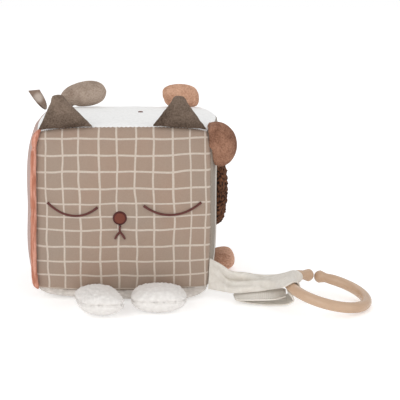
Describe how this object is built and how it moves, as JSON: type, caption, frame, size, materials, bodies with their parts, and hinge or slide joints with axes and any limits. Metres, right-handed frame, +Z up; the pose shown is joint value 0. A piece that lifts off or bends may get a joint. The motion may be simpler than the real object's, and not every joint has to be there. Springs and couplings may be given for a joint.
{
  "type": "soft fabric activity block",
  "caption": "Stuffed fabric activity cube with a stitched sleeping cat's face, sprung padded ears and feet in its seams, a ribbon tag, and a muslin strap that holds a C-shaped hanging ring.",
  "frame": {"origin": "on the floor under the middle of the block, in the flat of the bottom panel", "axes": "+Z up, -Y out of the cat's face, +X towards the strap and the ring"},
  "size_m": [0.2876, 0.2169, 0.1702],
  "materials": {
    "foam": "matte",
    "plaid_jersey": "matte",
    "back_jersey": "matte",
    "mauve_jersey": "matte",
    "beige_jersey": "matte",
    "white_plush": "matte",
    "white_sherpa": "matte",
    "salmon_jersey": "matte",
    "maroon_thread": "satin",
    "rust_thread": "satin",
    "brown_boucle": "matte",
    "taupe_velour": "matte",
    "light_taupe_velour": "matte",
    "salmon_velour": "matte",
    "deep_salmon_velour": "matte",
    "foot_sherpa": "matte",
    "taupe_ribbon": "satin",
    "cream_muslin": "matte",
    "beige_ring": "satin"
  },
  "bodies": {
    "block": {"foam_core": "foam", "front_panel": "plaid_jersey", "back_panel": "back_jersey", "left_panel": "mauve_jersey", "right_panel": "beige_jersey", "top_panel": "white_plush", "bottom_panel": "white_sherpa", "left_edge_roll": "salmon_jersey", "left_eye": "maroon_thread", "right_eye": "maroon_thread", "nose": "rust_thread", "mouth": "maroon_thread", "top_nose": "rust_thread", "mane_patch": "brown_boucle"},
    "left_ear": {"left_cat_ear": "taupe_velour"},
    "right_ear": {"right_cat_ear": "taupe_velour"},
    "top_left_flap": {"top_left_lobe": "light_taupe_velour"},
    "top_right_flap": {"top_right_lobe": "salmon_velour"},
    "side_ear_flap": {"side_ear": "deep_salmon_velour"},
    "side_foot_flap": {"side_foot": "salmon_velour"},
    "left_foot_flap": {"left_foot": "foot_sherpa"},
    "right_foot_flap": {"right_foot": "foot_sherpa"},
    "tag": {"ribbon_tag": "taupe_ribbon"},
    "strap": {"muslin_strap": "cream_muslin", "strap_tail": "cream_muslin"},
    "loop": {"strap_loop": "cream_muslin"},
    "ring": {"c_ring": "beige_ring"}
  },
  "joints": [
    {"name": "left_ear_fold", "type": "hinge", "parent": "block", "child": "left_ear", "pos_m": [-0.04502, -0.07369, 0.14569], "axis": [0.9915, -0.0918, 0.0918], "range_deg": [-38, 85], "stiffness_Nm_per_rad": 0.005},
    {"name": "right_ear_fold", "type": "hinge", "parent": "block", "child": "right_ear", "pos_m": [0.04674, -0.07353, 0.14553], "axis": [0.9902, 0.0986, -0.0986], "range_deg": [-38, 85], "stiffness_Nm_per_rad": 0.005},
    {"name": "top_left_lift", "type": "hinge", "parent": "block", "child": "top_left_flap", "pos_m": [-0.05486, 0.07234, 0.14284], "axis": [-1, 0, 0], "range_deg": [0, 100], "stiffness_Nm_per_rad": 0.02},
    {"name": "top_right_lift", "type": "hinge", "parent": "block", "child": "top_right_flap", "pos_m": [0.05252, 0.07266, 0.14294], "axis": [-1, 0, 0], "range_deg": [0, 115], "stiffness_Nm_per_rad": 0.02},
    {"name": "side_ear_lift", "type": "hinge", "parent": "block", "child": "side_ear_flap", "pos_m": [0.07134, -0.05553, 0.1441], "axis": [0, -1, 0], "range_deg": [0, 115], "stiffness_Nm_per_rad": 0.02},
    {"name": "side_foot_drop", "type": "hinge", "parent": "block", "child": "side_foot_flap", "pos_m": [0.07316, 0.021, 0.00686], "axis": [0, -1, 0], "range_deg": [-60, 0], "stiffness_Nm_per_rad": 0.02},
    {"name": "left_foot_fold", "type": "hinge", "parent": "block", "child": "left_foot_flap", "pos_m": [-0.0259, -0.07525, 0.00695], "axis": [-1, 0, 0], "range_deg": [-60, 10], "stiffness_Nm_per_rad": 0.02},
    {"name": "right_foot_fold", "type": "hinge", "parent": "block", "child": "right_foot_flap", "pos_m": [0.02869, -0.07512, 0.00701], "axis": [-1, 0, 0], "range_deg": [-60, 10], "stiffness_Nm_per_rad": 0.02},
    {"name": "tag_fold", "type": "hinge", "parent": "block", "child": "tag", "pos_m": [-0.07174, 0.05015, 0.14329], "axis": [0, -1, 0], "range_deg": [-75, 60], "stiffness_Nm_per_rad": 0.001},
    {"name": "strap_swing", "type": "hinge", "parent": "block", "child": "strap", "pos_m": [0.0715, -0.07304, 0.0195], "axis": [0, 0, 1], "range_deg": [-50, 40]},
    {"name": "loop_lift", "type": "hinge", "parent": "strap", "child": "loop", "pos_m": [0.12602, -0.09244, 0.02277], "axis": [-0.136, -0.9896, -0.0463], "range_deg": [-6, 80]},
    {"name": "ring_turn", "type": "hinge", "parent": "loop", "child": "ring", "pos_m": [0.167, -0.0976, 0.01275], "axis": [0.2277, -0.0767, 0.9707], "range_deg": [-220, 15]}
  ]
}
